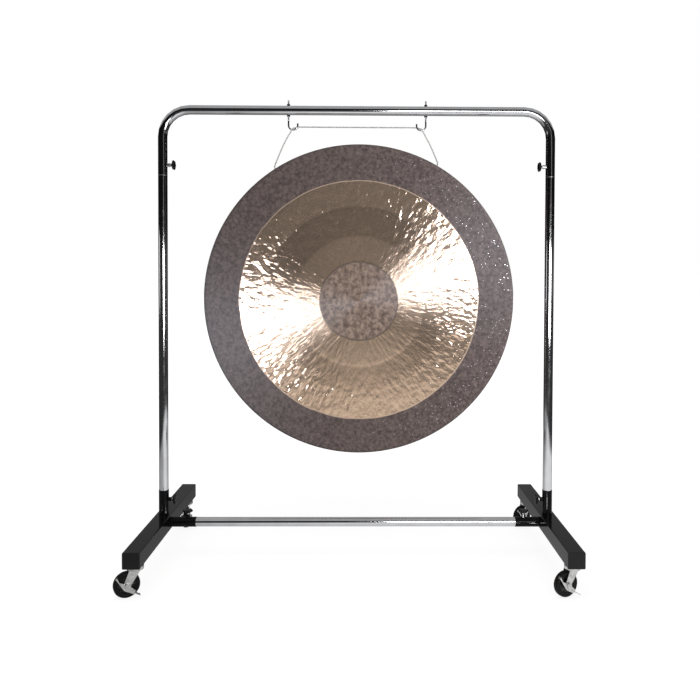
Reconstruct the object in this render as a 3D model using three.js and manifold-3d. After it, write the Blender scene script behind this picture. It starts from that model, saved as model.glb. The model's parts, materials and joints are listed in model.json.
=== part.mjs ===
// A gong stand on four casters, with its gong: two square legs, two chrome uprights, a stretcher,
// a top bar that lifts off, six thumbscrews, two hooks, the hanging cord and the gong.
// Millimetres, +Z up. The front is towards -Y, and the origin is on the floor under the middle.
import * as THREE from 'three';
import { mergeVertices } from 'three/addons/utils/BufferGeometryUtils.js';
import Module from 'manifold-3d';

const wasm = await Module();
wasm.setup();

// Clearances that the whole stand uses
const seatGap = 0.1;          // between two faces that rest on each other
const fitGap = 0.3;           // all round a tube, pin or plug inside its hole
const runGap = 0.5;           // beside a part that turns
const cutOverrun = 2;         // how far a cutting tool reaches past what it cuts
const rootDepth = 1;          // how far a welded piece sinks into what carries it

// Frame
const frameWidth = 1273;      // between the centrelines of the two uprights
const originShift = 16.2;     // the casters as they are turned reach further to one side, so the stand's
                              // own middle is this far from the origin
const tubeDiameter = 30;
const tubeWall = 1.6;
const uprightRise = 1116;     // leg top to the seam where the top bar sits on the upright
const barDrop = 215.5;        // top bar's centreline down to the seam
const bendRadius = 88;        // of the top bar's centreline
const sleeveBelow = 70;       // inner sleeve inside the upright
const sleeveAbove = 104;      // inner sleeve inside the top bar's end
const sleeveWall = 2;

// Legs
const legWidth = 51;
const legHeight = 48;
const legWall = 2;
const legCorner = 3;
const legLength = 650;        // over both end caps
const capThickness = 3;
const capPlugDepth = 10;

// Sockets welded to the legs
const socketWall = 0.8;
const uprightSocketHeight = 80.5;
const stretcherSocketLength = 82;
const stretcherDrop = 3;      // below the middle of the leg

// Thumbscrews and the threaded bosses they turn in
const bossDiameter = 13;
const bossHeight = 9.5;
const screwDiameter = 8;
const shankGap = 4;           // bare screw between boss and knob
const knobDiameter = 33;
const knobThickness = 7;
const knobHubDiameter = 17;
const knobHubHeight = 4.5;
const knobLobes = 6;
const knobLobeDepth = 2.6;
const knobBevel = 1.6;
const knobBoreDepth = 9;
const barBossRise = 35;       // seam to the thumbscrew above it
const uprightBossDrop = 31.5; // socket rim down to its thumbscrew
const stretcherBossReach = 53.5;

// Hooks and their nuts
const hookSpacing = 450;
const wireDiameter = 5.5;
const hookRadius = 15;
const hookDrop = 63.5;        // bar centreline to the bottom of the hook's centreline
const hookTipRise = 6;
const threadRise = 32;        // bar centreline to the top of the thread
const nutAcross = 10;
const nutThickness = 5;

// Gong
const gongDiameter = 1024;
const gongWall = 2.8;
const faceCrown = 6;          // how far the centre stands proud of the edge
const rimDepth = 46;          // face edge to the back of the rim
const rimInset = 4;           // how far the rim leans in at its back
const rimCorner = 12;
const gongShift = 7.5;        // the gong hangs a little to one side
const leftHoleAngle = 32.51;  // degrees from the top of the rim
const rightHoleAngle = 29.74;
const holeSetback = 32;       // face centre back to the rim holes
const rimHoleDiameter = 9;
const balanceSetback = 11.2;  // face centre back to the gong's centre of mass
const hangDrop = 122;         // hook bottom down to the line between the rim holes

// Cord
const cordDiameter = 4.5;
const knotDiameter = 11;

// Casters
const wheelDiameter = 75;
const wheelWidth = 20;
const tyreDepth = 11;
const tyreShoulder = 5;
const treadCrown = 1.5;
const hubBossDiameter = 18;
const hubBossProud = 1.2;
const hubDish = 3;
const axleDiameter = 8;
const axleHeadAcross = 13;
const axleHeadThickness = 4.8;
const crownClearance = 9.9;   // top of the wheel to the underside of the fork's crown
const casterTrail = 25;       // swivel axis to wheel axle
const casterInset = 41;       // leg end to swivel axis
const stemDiameter = 11;
const stemRise = 30;
const stemNutDiameter = 19;
const stemNutThickness = 8;
const flangeDiameter = 38;
const flangeThickness = 3;
const raceGap = 1;
const kingpinDiameter = 9;
const kingpinHeadDiameter = 18;
const kingpinHeadThickness = 4;
const crownDiameter = 48;
const crownThickness = 3;
const crownSkirt = 6;
const forkSheet = 2;
const forkSideGap = 1.5;      // wheel to fork on each side
const forkTopLead = 18;       // fork side ahead of the swivel axis
const forkTopTrail = 17;      // fork side behind it
const forkToeRadius = 11;     // around the axle
const swivelDegrees = { front_left: 27, front_right: 23, rear_left: 104, rear_right: 32 };

// Brake lever of a caster, measured from the axle: back and up to its tip, back and down to its heel,
// ahead and down to its toe
const brakeSheet = 2;
const brakeHubDiameter = 17;
const brakeTipBack = 31;
const brakeTipUp = 24;
const brakeTipWidth = 3;
const brakeHeelBack = 9;
const brakeHeelDown = 12;
const heelRoundShare = 0.2;   // of each edge beside the heel
const brakeToeAhead = 18;
const brakeToeDown = 26;
const brakeToeLead = 5;
const brakeToeWidth = 9;
const brakeWaistAhead = 6;
const brakeWaistUp = 3;
const brakeShoulderBack = 21;
const brakeShoulderUp = 13.5;
const shoeReach = 8;
const shoeLength = 7;
const pedalLength = 20;
const pedalWidth = 11;        // outwards from the lever's inner face
const pedalSlope = 30;        // degrees down
const pedalAhead = 26;
const pedalDown = 24;

// Places that follow from the sizes above
const halfWidth = frameWidth / 2;
const tubeRadius = tubeDiameter / 2;
const forkSeat = wheelDiameter + crownClearance + crownThickness + raceGap;
const casterHeight = forkSeat + flangeThickness + seatGap;
const legTop = casterHeight + legHeight;
const legMiddle = casterHeight + legHeight / 2;
const stretcherHeight = legMiddle - stretcherDrop;
const seamHeight = legTop + uprightRise;
const barHeight = seamHeight + barDrop;
const sleeveDiameter = tubeDiameter - 2 * tubeWall - 2 * fitGap;
const socketBore = tubeDiameter + 2 * fitGap;
const socketDiameter = socketBore + 2 * socketWall;
const hookBottom = barHeight - hookDrop;
const gongRadius = gongDiameter / 2;
const holeLine = hookBottom - hangDrop;
const wheelRadius = wheelDiameter / 2;
const forkInner = wheelWidth / 2 + forkSideGap;
const forkOuter = forkInner + forkSheet;
const crownUnderside = wheelDiameter + crownClearance;

// Facet counts
const tubeSides = 24;
const pinSides = 12;
const wireSides = 10;
const cordSides = 6;
const cordStepsPerPoint = 2;
const wheelSides = 20;
const crownSides = 16;
const bendSteps = 6;
const hookSteps = 8;
const gongSides = 48;
const faceSteps = 3;
const cornerSteps = 3;

// Materials
const chrome = new THREE.MeshStandardMaterial({ color: 0xd8dadd, roughness: 0.08, metalness: 1 });
const zinc = new THREE.MeshStandardMaterial({ color: 0xb4b4b2, roughness: 0.38, metalness: 1 });
const blackGloss = new THREE.MeshStandardMaterial({ color: 0x1b1b1c, roughness: 0.2, metalness: 0.1 });
const blackPlastic = new THREE.MeshStandardMaterial({ color: 0x141414, roughness: 0.5, metalness: 0 });
const blackRubber = new THREE.MeshStandardMaterial({ color: 0x161616, roughness: 0.75, metalness: 0 });
const bronze = new THREE.MeshStandardMaterial({ color: 0xa98a5e, roughness: 0.34, metalness: 1 });
const whiteCord = new THREE.MeshStandardMaterial({ color: 0xc9c9c6, roughness: 0.9, metalness: 0 });

const stand = new THREE.Group();
stand.position.x = originShift;

// Adds a named piece to a group.
function addPiece(parent, name, geometry, material) {
  const shown = geometry.toNonIndexed();
  shown.computeVertexNormals();
  const mesh = new THREE.Mesh(shown, material);
  mesh.name = name;
  parent.add(mesh);
  return mesh;
}

// A closed geometry with shared vertices, no empty triangles, and its faces pointing out.
function closedBody(geometry) {
  const bare = geometry.clone();
  bare.deleteAttribute('normal');
  bare.deleteAttribute('uv');
  const merged = mergeVertices(bare);
  const place = merged.attributes.position;
  const corners = merged.index.array;
  const kept = [];
  let volume = 0;
  const [a, b, c] = [new THREE.Vector3(), new THREE.Vector3(), new THREE.Vector3()];
  for (let i = 0; i < corners.length; i += 3) {
    const [p, q, r] = [corners[i], corners[i + 1], corners[i + 2]];
    if (p === q || q === r || r === p) {
      continue;
    }
    kept.push([p, q, r]);
    a.fromBufferAttribute(place, p);
    b.fromBufferAttribute(place, q);
    c.fromBufferAttribute(place, r);
    volume += a.dot(b.cross(c));
  }
  const outward = volume > 0 ? kept : kept.map(([p, q, r]) => [p, r, q]);
  merged.setIndex(outward.flat());
  return merged;
}

function toSolid(geometry) {
  const body = closedBody(geometry);
  return new wasm.Manifold(new wasm.Mesh({
    numProp: 3,
    vertProperties: new Float32Array(body.attributes.position.array),
    triVerts: new Uint32Array(body.index.array),
  }));
}

function toGeometry(solid) {
  const mesh = solid.getMesh();
  const geometry = new THREE.BufferGeometry();
  geometry.setAttribute('position', new THREE.BufferAttribute(new Float32Array(mesh.vertProperties), 3));
  geometry.setIndex(new THREE.BufferAttribute(new Uint32Array(mesh.triVerts), 1));
  return geometry;
}

// Joins the first list of geometries and cuts the second from it.
function joinAndCut(joined, cutters) {
  const whole = joined.map(toSolid).reduce((sum, solid) => sum.add(solid));
  return toGeometry(cutters.map(toSolid).reduce((rest, solid) => rest.subtract(solid), whole));
}

// A round or many-sided bar that stands on the origin along +Z.
function bar(diameter, length, sides = pinSides) {
  const geometry = new THREE.CylinderGeometry(diameter / 2, diameter / 2, length, sides);
  geometry.rotateX(Math.PI / 2);
  geometry.translate(0, 0, length / 2);
  return geometry;
}

function hexBar(across, length) {
  return bar(across / Math.cos(Math.PI / 6), length, 6);
}

// A tube that stands on the origin along +Z.
function tube(diameter, wall, length, sides = tubeSides) {
  return new THREE.ExtrudeGeometry(ringShape(diameter, wall), {
    depth: length, steps: 1, bevelEnabled: false, curveSegments: sides / 2,
  });
}

function ringShape(diameter, wall) {
  const shape = new THREE.Shape();
  shape.absarc(0, 0, diameter / 2, 0, 2 * Math.PI);
  const hole = new THREE.Path();
  hole.absarc(0, 0, diameter / 2 - wall, 0, 2 * Math.PI);
  shape.holes.push(hole);
  return shape;
}

function discShape(diameter) {
  const shape = new THREE.Shape();
  shape.absarc(0, 0, diameter / 2, 0, 2 * Math.PI);
  return shape;
}

const alongX = (geometry) => geometry.rotateY(Math.PI / 2);
const alongY = (geometry) => geometry.rotateX(-Math.PI / 2);

// A path that is given by its stations: straight runs need two, and a bend has one at each step.
class StationPath extends THREE.Curve {
  constructor(stations) {
    super();
    this.stations = stations;
  }

  station(share) {
    return this.stations[Math.round(share * (this.stations.length - 1))];
  }

  getPoint(share, target = new THREE.Vector3()) {
    return target.copy(this.station(share).place);
  }

  getPointAt(share, target) {
    return this.getPoint(share, target);
  }

  getTangentAt(share, target = new THREE.Vector3()) {
    return target.copy(this.station(share).heading);
  }
}

// Stations of an arc in the XZ plane from one angle to another, in the direction of travel.
function arcStations(centreX, centreZ, radius, fromDegrees, toDegrees, steps) {
  const turn = Math.sign(toDegrees - fromDegrees);
  const stations = [];
  for (let i = 0; i <= steps; i += 1) {
    const angle = THREE.MathUtils.degToRad(fromDegrees + (toDegrees - fromDegrees) * i / steps);
    stations.push({
      place: new THREE.Vector3(centreX + radius * Math.cos(angle), 0, centreZ + radius * Math.sin(angle)),
      heading: new THREE.Vector3(-turn * Math.sin(angle), 0, turn * Math.cos(angle)),
    });
  }
  return stations;
}

function sweep(shape, path, steps, sides) {
  return new THREE.ExtrudeGeometry(shape, {
    steps, extrudePath: path, bevelEnabled: false, curveSegments: sides / 2,
  });
}

// The top bar is one bent tube, with a threaded boss on each drop and holes for the hooks.
// Its frame has the bar's centreline at the origin's height.
function topBarGeometry() {
  const up = new THREE.Vector3(0, 0, 1);
  const down = new THREE.Vector3(0, 0, -1);
  const bendX = halfWidth - bendRadius;
  const stations = [
    { place: new THREE.Vector3(-halfWidth, 0, seatGap - barDrop), heading: up },
    ...arcStations(-bendX, -bendRadius, bendRadius, 180, 90, bendSteps),
    ...arcStations(bendX, -bendRadius, bendRadius, 90, 0, bendSteps),
    { place: new THREE.Vector3(halfWidth, 0, seatGap - barDrop), heading: down },
  ];
  const path = new StationPath(stations);
  const bent = sweep(ringShape(tubeDiameter, tubeWall), path, stations.length - 1, tubeSides);
  const bosses = [];
  const holes = [];
  for (const side of [-1, 1]) {
    const boss = radialBar(bossDiameter, tubeRadius - rootDepth, tubeRadius + bossHeight, -side);
    boss.translate(side * halfWidth, 0, barBossRise - barDrop);
    bosses.push(boss);
    const bore = radialBar(screwDiameter + 2 * fitGap, 0, tubeRadius + bossHeight + cutOverrun, -side);
    bore.translate(side * halfWidth, 0, barBossRise - barDrop);
    holes.push(bore);
    const hookHole = bar(wireDiameter + 2 * fitGap, tubeDiameter + 2 * cutOverrun, wireSides);
    hookHole.translate(side * hookSpacing / 2, 0, -tubeRadius - cutOverrun);
    holes.push(hookHole);
  }
  return joinAndCut([bent, ...bosses], holes);
}

// A bar along X between two distances from the origin, towards +X or -X.
function radialBar(diameter, from, to, direction, sides = pinSides) {
  const geometry = alongX(bar(diameter, to - from, sides));
  geometry.translate(direction > 0 ? from : -to, 0, 0);
  return geometry;
}

// A socket is a tube along +Z with a threaded boss on its +X side.
function socketGeometry(length, bossPlace) {
  const radius = socketDiameter / 2;
  const boss = radialBar(bossDiameter, radius - rootDepth, radius + bossHeight, 1);
  boss.translate(0, 0, bossPlace);
  const bore = radialBar(screwDiameter + 2 * fitGap, 0, radius + bossHeight + cutOverrun, 1);
  bore.translate(0, 0, bossPlace);
  return joinAndCut([tube(socketDiameter, socketWall, length), boss], [bore]);
}

// A thumbscrew lies along +X from the axis of the tube that it clamps.
// Its tip stops just short of the inner tube, and its knob stands off the boss.
function addThumbscrew(parent, name, innerRadius, bossEnd) {
  const tip = innerRadius + fitGap;
  const knobStart = bossEnd + shankGap;
  const boreEnd = knobStart + knobBoreDepth;
  const screw = radialBar(screwDiameter, tip, boreEnd - fitGap, 1);
  addPiece(parent, `${name}_screw`, closedBody(screw), chrome);

  const outline = [];
  const lobePoints = 4 * knobLobes;
  for (let i = 0; i < lobePoints; i += 1) {
    const angle = 2 * Math.PI * i / lobePoints;
    const radius = knobDiameter / 2 - knobBevel - knobLobeDepth * (1 - Math.cos(knobLobes * angle)) / 2;
    outline.push(new THREE.Vector2(radius * Math.cos(angle), radius * Math.sin(angle)));
  }
  const grip = new THREE.ExtrudeGeometry(new THREE.Shape(outline), {
    depth: knobThickness - 2 * knobBevel, steps: 1,
    bevelThickness: knobBevel, bevelSize: knobBevel, bevelSegments: 1,
  });
  alongX(grip);
  grip.translate(knobStart + knobHubHeight + knobBevel, 0, 0);
  const hub = radialBar(knobHubDiameter, knobStart, knobStart + knobHubHeight + rootDepth, 1, 2 * pinSides);
  const bore = radialBar(screwDiameter + 2 * fitGap, knobStart - cutOverrun, boreEnd, 1);
  addPiece(parent, `${name}_knob`, joinAndCut([grip, hub], [bore]), blackPlastic);
}

function frameAt(parent, x, z) {
  const group = new THREE.Group();
  group.position.set(x, 0, z);
  parent.add(group);
  return group;
}

// A frame at one side of the stand, with its +X axis towards the middle.
function inwardFrame(parent, side, offset, z) {
  const group = frameAt(parent, side * offset, z);
  group.rotation.z = side > 0 ? Math.PI : 0;
  return group;
}

// Legs, with their end caps and the sockets welded to them
function legGeometry() {
  const wide = legWidth / 2;
  const high = legHeight / 2;
  const shape = new THREE.Shape();
  shape.moveTo(-wide + legCorner, -high);
  shape.lineTo(wide - legCorner, -high);
  shape.quadraticCurveTo(wide, -high, wide, -high + legCorner);
  shape.lineTo(wide, high - legCorner);
  shape.quadraticCurveTo(wide, high, wide - legCorner, high);
  shape.lineTo(-wide + legCorner, high);
  shape.quadraticCurveTo(-wide, high, -wide, high - legCorner);
  shape.lineTo(-wide, -high + legCorner);
  shape.quadraticCurveTo(-wide, -high, -wide + legCorner, -high);
  const across = wide - legWall;
  const up = high - legWall;
  const hole = new THREE.Path([
    new THREE.Vector2(-across, -up), new THREE.Vector2(-across, up),
    new THREE.Vector2(across, up), new THREE.Vector2(across, -up),
  ]);
  const capShape = shape.clone();
  shape.holes.push(hole);
  return { section: shape, capShape };
}

function addLegs() {
  const { section, capShape } = legGeometry();
  const tubeLength = legLength - 2 * capThickness - 2 * seatGap;
  const plugInset = 2 * legWall + 2 * fitGap;
  for (const [sideName, side] of [['left', -1], ['right', 1]]) {
    const leg = new THREE.Group();
    leg.position.set(side * halfWidth, 0, legMiddle);
    stand.add(leg);

    const walls = alongY(new THREE.ExtrudeGeometry(section, {
      depth: tubeLength, steps: 1, bevelEnabled: false, curveSegments: 2,
    }));
    walls.translate(0, -tubeLength / 2, 0);
    const stemHoles = [-1, 1].map((end) => {
      const hole = bar(stemDiameter + 2 * fitGap, legWall + 2 * cutOverrun);
      hole.translate(0, end * (legLength / 2 - casterInset), -legHeight / 2 - cutOverrun);
      return hole;
    });
    addPiece(leg, `${sideName}_leg`, joinAndCut([walls], stemHoles), blackGloss);

    for (const [endName, end] of [['front', -1], ['rear', 1]]) {
      const plate = alongY(new THREE.ExtrudeGeometry(capShape, {
        depth: capThickness, steps: 1, bevelEnabled: false, curveSegments: 2,
      }));
      plate.translate(0, end > 0 ? legLength / 2 - capThickness : -legLength / 2, 0);
      const plug = new THREE.BoxGeometry(legWidth - plugInset, capPlugDepth + rootDepth, legHeight - plugInset);
      plug.translate(0, end * (legLength / 2 - capThickness - (capPlugDepth - rootDepth) / 2), 0);
      addPiece(leg, `${sideName}_${endName}_cap`, joinAndCut([plate, plug], []), blackPlastic);
    }

    const post = inwardFrame(stand, side, halfWidth, legTop + seatGap);
    const postBoss = uprightSocketHeight - uprightBossDrop;
    addPiece(post, `${sideName}_upright_socket`, socketGeometry(uprightSocketHeight, postBoss), blackGloss);
    addThumbscrew(frameAt(post, 0, postBoss), `${sideName}_upright`, tubeRadius, socketDiameter / 2 + bossHeight);

    // The stretcher's socket lies towards the middle, with its boss on top.
    const arm = inwardFrame(stand, side, halfWidth - legWidth / 2 - seatGap, stretcherHeight);
    const armSocket = socketGeometry(stretcherSocketLength, stretcherBossReach);
    armSocket.rotateZ(Math.PI);
    armSocket.rotateY(Math.PI / 2);
    addPiece(arm, `${sideName}_stretcher_socket`, armSocket, blackGloss);
    const armScrew = frameAt(arm, stretcherBossReach, 0);
    armScrew.rotation.y = -Math.PI / 2;
    addThumbscrew(armScrew, `${sideName}_stretcher`, tubeRadius, socketDiameter / 2 + bossHeight);
  }
}

// Uprights with their inner sleeves, and the stretcher between the legs
function addTubes() {
  for (const [sideName, side] of [['left', -1], ['right', 1]]) {
    const upright = addPiece(
      stand, `${sideName}_upright`, closedBody(tube(tubeDiameter, tubeWall, uprightRise - seatGap)), chrome,
    );
    upright.position.set(side * halfWidth, 0, legTop + seatGap);
    const sleeve = addPiece(
      stand, `${sideName}_sleeve`, closedBody(tube(sleeveDiameter, sleeveWall, sleeveBelow + sleeveAbove)), zinc,
    );
    sleeve.position.set(side * halfWidth, 0, seamHeight - sleeveBelow);
  }
  const stretcherLength = frameWidth - legWidth - 2 * fitGap;
  const stretcherTube = alongX(tube(tubeDiameter, tubeWall, stretcherLength));
  stretcherTube.translate(-stretcherLength / 2, 0, 0);
  const stretcher = addPiece(stand, 'stretcher', closedBody(stretcherTube), chrome);
  stretcher.position.z = stretcherHeight;
}

// Top bar with its two thumbscrews, and the hooks with their nuts
function addTopBar() {
  const top = new THREE.Group();
  top.position.z = barHeight;
  stand.add(top);
  addPiece(top, 'top_bar', topBarGeometry(), chrome);
  for (const [sideName, side] of [['left', -1], ['right', 1]]) {
    const screw = inwardFrame(top, side, halfWidth, barBossRise - barDrop);
    addThumbscrew(screw, `${sideName}_top`, sleeveDiameter / 2, tubeRadius + bossHeight);
    addHook(inwardFrame(top, side, hookSpacing / 2, 0), `${sideName}_hook`);
  }
}

// A hook is bent from threaded wire: shank down through the bar, half a turn towards +X, and a short tip.
function addHook(parent, name) {
  const arcHeight = hookRadius - hookDrop;
  const down = new THREE.Vector3(0, 0, -1);
  const up = new THREE.Vector3(0, 0, 1);
  const stations = [
    { place: new THREE.Vector3(0, 0, threadRise), heading: down },
    ...arcStations(hookRadius, arcHeight, hookRadius, 180, 360, hookSteps),
    { place: new THREE.Vector3(2 * hookRadius, 0, arcHeight + hookTipRise), heading: up },
  ];
  const wire = sweep(discShape(wireDiameter), new StationPath(stations), stations.length - 1, wireSides);
  addPiece(parent, name, closedBody(wire), chrome);

  const nutPlaces = {
    upper: tubeRadius + seatGap,
    lower: -tubeRadius - seatGap - nutThickness,
  };
  for (const [place, height] of Object.entries(nutPlaces)) {
    const hole = bar(wireDiameter + 2 * fitGap, nutThickness + 2 * cutOverrun, wireSides);
    hole.translate(0, 0, -cutOverrun);
    const nut = addPiece(parent, `${name}_${place}_nut`, joinAndCut([hexBar(nutAcross, nutThickness)], [hole]), chrome);
    nut.position.z = height;
  }
}

// The gong is a shallow dish of even wall: a slightly crowned face, and a rim turned back round its edge.
// Its frame has the face centre at the origin and the back towards +Y.
function gongGeometry() {
  const cornerCentre = gongRadius - rimCorner;
  const rimEnd = faceCrown + rimDepth;
  const profile = [];
  const crownAt = (radius) => faceCrown * (radius / cornerCentre) ** 2;
  for (let i = 0; i <= faceSteps; i += 1) {
    const radius = cornerCentre * i / faceSteps;
    profile.push(new THREE.Vector2(radius, crownAt(radius)));
  }
  for (let i = 1; i <= cornerSteps; i += 1) {
    const angle = Math.PI / 2 * i / cornerSteps;
    profile.push(new THREE.Vector2(
      cornerCentre + rimCorner * Math.sin(angle),
      faceCrown + rimCorner * (1 - Math.cos(angle)),
    ));
  }
  profile.push(new THREE.Vector2(gongRadius - rimInset, rimEnd));
  profile.push(new THREE.Vector2(gongRadius - rimInset - gongWall, rimEnd));
  const innerCorner = rimCorner - gongWall;
  for (let i = cornerSteps; i >= 1; i -= 1) {
    const angle = Math.PI / 2 * i / cornerSteps;
    profile.push(new THREE.Vector2(
      cornerCentre + innerCorner * Math.sin(angle),
      faceCrown + rimCorner - innerCorner * Math.cos(angle),
    ));
  }
  for (let i = faceSteps; i >= 0; i -= 1) {
    const radius = cornerCentre * i / faceSteps;
    profile.push(new THREE.Vector2(radius, crownAt(radius) + gongWall));
  }
  const dish = new THREE.LatheGeometry(profile, gongSides);
  const holes = [-leftHoleAngle, rightHoleAngle].map((degrees) => {
    const hole = bar(rimHoleDiameter, rimCorner + gongWall + 2 * cutOverrun);
    hole.translate(0, 0, gongRadius - rimCorner - gongWall);
    hole.rotateY(THREE.MathUtils.degToRad(degrees));
    hole.translate(0, holeSetback, 0);
    return hole;
  });
  return joinAndCut([dish], holes);
}

// The gong hangs from its rim holes, and leans so that its centre of mass is under them.
function addGong() {
  const leftRise = gongRadius * Math.cos(THREE.MathUtils.degToRad(leftHoleAngle));
  const rightRise = gongRadius * Math.cos(THREE.MathUtils.degToRad(rightHoleAngle));
  const holeRise = (leftRise + rightRise) / 2;
  const hanging = new THREE.Group();
  hanging.position.set(gongShift, 0, holeLine);
  hanging.rotation.x = Math.atan2(holeSetback - balanceSetback, holeRise);
  stand.add(hanging);
  const gong = addPiece(hanging, 'gong', gongGeometry(), bronze);
  gong.position.set(0, -holeSetback, -holeRise);
}

// The cord runs from a knot inside the left rim hole up over the left hook, across to the right hook
// and down to a knot inside the right rim hole. It crosses each hook's wire from front to back.
// Its points are places on the stand, from the left knot to the right one.
const cordPoints = [
  [-262.3, 0, 1271],
  [-267.7, 0, 1279.4],
  [-270, 0, 1283.3],
  [-270.6, -0.3, 1287.5],
  [-268.9, -0.9, 1293.5],
  [-264.2, -2, 1305],
  [-240, -5.6, 1360],
  [-224, -7.3, 1389],
  [-217.5, -7.6, 1399.5],
  [-214, -7, 1406.6],
  [-211.2, -4.4, 1411.4],
  [-208.8, 0, 1413.6],
  [-204, 4.7, 1415.8],
  [-195, 7.4, 1418.5],
  [-180, 7.6, 1419],
  [-90, 7.6, 1419],
  [0, 7.6, 1419],
  [90, 7.6, 1419],
  [180, 7.6, 1419],
  [195, 7.4, 1418.5],
  [204, 4.7, 1415.8],
  [208.8, 0, 1413.6],
  [211.2, -4.4, 1411.4],
  [214, -7, 1406.6],
  [217.5, -7.6, 1399.5],
  [223, -7.3, 1389],
  [239, -5.6, 1360],
  [256.5, -2.4, 1322],
  [263, -1.2, 1307],
  [264.6, -0.4, 1301.5],
  [264.1, 0, 1296.9],
  [261.5, 0, 1292.4],
  [256.6, 0, 1283.9],
];

function addCord() {
  const route = new THREE.CatmullRomCurve3(cordPoints.map((place) => new THREE.Vector3(...place)));
  const steps = (cordPoints.length - 1) * cordStepsPerPoint;
  const stations = Array.from({ length: steps + 1 }, (_, i) => ({
    place: route.getPoint(i / steps),
    heading: route.getTangent(i / steps),
  }));
  const line = sweep(discShape(cordDiameter), new StationPath(stations), steps, cordSides);
  const knots = [cordPoints[0], cordPoints[cordPoints.length - 1]].map((place) => {
    const knot = new THREE.IcosahedronGeometry(knotDiameter / 2, 1);
    knot.translate(...place);
    return knot;
  });
  addPiece(stand, 'gong_cord', joinAndCut([line, ...knots], []), whiteCord);
}

// Casters. Each frame has the swivel axis at its origin, on the floor, and the wheel trails to -X.
function addCasters() {
  const stemPlace = legLength / 2 - casterInset;
  for (const [sideName, side] of [['left', -1], ['right', 1]]) {
    for (const [endName, end] of [['front', -1], ['rear', 1]]) {
      const name = `${endName}_${sideName}`;
      const caster = new THREE.Group();
      caster.position.set(side * halfWidth, end * stemPlace, 0);
      caster.rotation.z = THREE.MathUtils.degToRad(swivelDegrees[name]);
      stand.add(caster);
      addPiece(caster, `${name}_caster_stem`, stemGeometry(), zinc);
      addPiece(caster, `${name}_caster_fork`, forkGeometry(), zinc);
      const wheel = new THREE.Group();
      wheel.position.set(-casterTrail, 0, wheelRadius);
      caster.add(wheel);
      addPiece(wheel, `${name}_caster_axle`, axleGeometry(), zinc);
      addPiece(wheel, `${name}_caster_hub`, hubGeometry(), blackPlastic);
      addPiece(wheel, `${name}_caster_tyre`, tyreGeometry(), blackRubber);
      addPiece(wheel, `${name}_caster_brake`, brakeGeometry(), zinc);
    }
  }
}

// Turns a profile of radius and height pairs about Z.
function turned(pairs, sides) {
  const profile = pairs.map(([radius, height]) => new THREE.Vector2(radius, height));
  const geometry = new THREE.LatheGeometry(profile, sides);
  geometry.rotateX(Math.PI / 2);
  return geometry;
}

// The stem is bolted through the leg's lower wall, and the kingpin under it carries the fork.
function stemGeometry() {
  const wallTop = casterHeight + legWall + seatGap;
  const legUnderside = casterHeight - seatGap;
  const flangeUnderside = legUnderside - flangeThickness;
  const headTop = crownUnderside - runGap;
  return closedBody(turned([
    [0, casterHeight + stemRise],
    [stemDiameter / 2, casterHeight + stemRise],
    [stemDiameter / 2, wallTop + stemNutThickness],
    [stemNutDiameter / 2, wallTop + stemNutThickness],
    [stemNutDiameter / 2, wallTop],
    [stemDiameter / 2, wallTop],
    [stemDiameter / 2, legUnderside],
    [flangeDiameter / 2, legUnderside],
    [flangeDiameter / 2, flangeUnderside],
    [kingpinDiameter / 2, flangeUnderside],
    [kingpinDiameter / 2, headTop],
    [kingpinHeadDiameter / 2, headTop],
    [kingpinHeadDiameter / 2, headTop - kingpinHeadThickness],
    [0, headTop - kingpinHeadThickness],
  ], pinSides));
}

// The fork is pressed from sheet: a round crown with a turned-down skirt, and two tapering sides.
function forkGeometry() {
  const cup = bar(crownDiameter, crownThickness + crownSkirt, crownSides);
  cup.translate(0, 0, crownUnderside - crownSkirt);
  const recess = bar(crownDiameter - 2 * forkSheet, crownSkirt + cutOverrun, crownSides);
  recess.translate(0, 0, crownUnderside - crownSkirt - cutOverrun);
  const crown = joinAndCut([cup], [recess]);

  const side = new THREE.Shape();
  const top = crownUnderside + rootDepth;
  side.moveTo(-forkTopTrail, top);
  side.lineTo(forkTopLead, top);
  side.lineTo(forkToeRadius - casterTrail, wheelRadius);
  side.absarc(-casterTrail, wheelRadius, forkToeRadius, 0, -Math.PI, true);
  side.closePath();
  const sides = [-forkOuter, forkInner].map((place) => {
    const sheet = new THREE.ExtrudeGeometry(side, {
      depth: forkSheet, steps: 1, bevelEnabled: false, curveSegments: 6,
    });
    sheet.rotateX(Math.PI / 2);
    sheet.translate(0, place + forkSheet, 0);
    return sheet;
  });
  const kingpinHole = bar(kingpinDiameter + 2 * runGap, crownThickness + 2 * cutOverrun);
  kingpinHole.translate(0, 0, crownUnderside - cutOverrun);
  const axleHole = alongY(bar(axleDiameter + 2 * fitGap, 2 * forkOuter + 2 * cutOverrun));
  axleHole.translate(-casterTrail, -forkOuter - cutOverrun, wheelRadius);
  return joinAndCut([crown, ...sides], [kingpinHole, axleHole]);
}

// The wheel's frame has the axle along Y at its origin.
function axleGeometry() {
  const headStart = forkOuter + runGap + brakeSheet + runGap;
  const nutStart = forkOuter + seatGap;
  const head = alongY(hexBar(axleHeadAcross, axleHeadThickness));
  head.translate(0, -headStart - axleHeadThickness, 0);
  const nut = alongY(hexBar(axleHeadAcross, axleHeadThickness));
  nut.translate(0, nutStart, 0);
  const shaftEnd = nutStart + axleHeadThickness + rootDepth;
  const shaft = alongY(bar(axleDiameter, headStart + shaftEnd + rootDepth));
  shaft.translate(0, -headStart - rootDepth, 0);
  return joinAndCut([shaft, head, nut], []);
}

// Wheel profiles are turned with flats downwards, so radii are set out to the corners.
const cornerShare = 1 / Math.cos(Math.PI / wheelSides);

function wheelRing(pairs) {
  const ring = turned(pairs.map(([radius, height]) => [radius * cornerShare, height]), wheelSides);
  ring.rotateX(-Math.PI / 2);
  ring.rotateY(Math.PI / wheelSides);
  return closedBody(ring);
}

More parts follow.
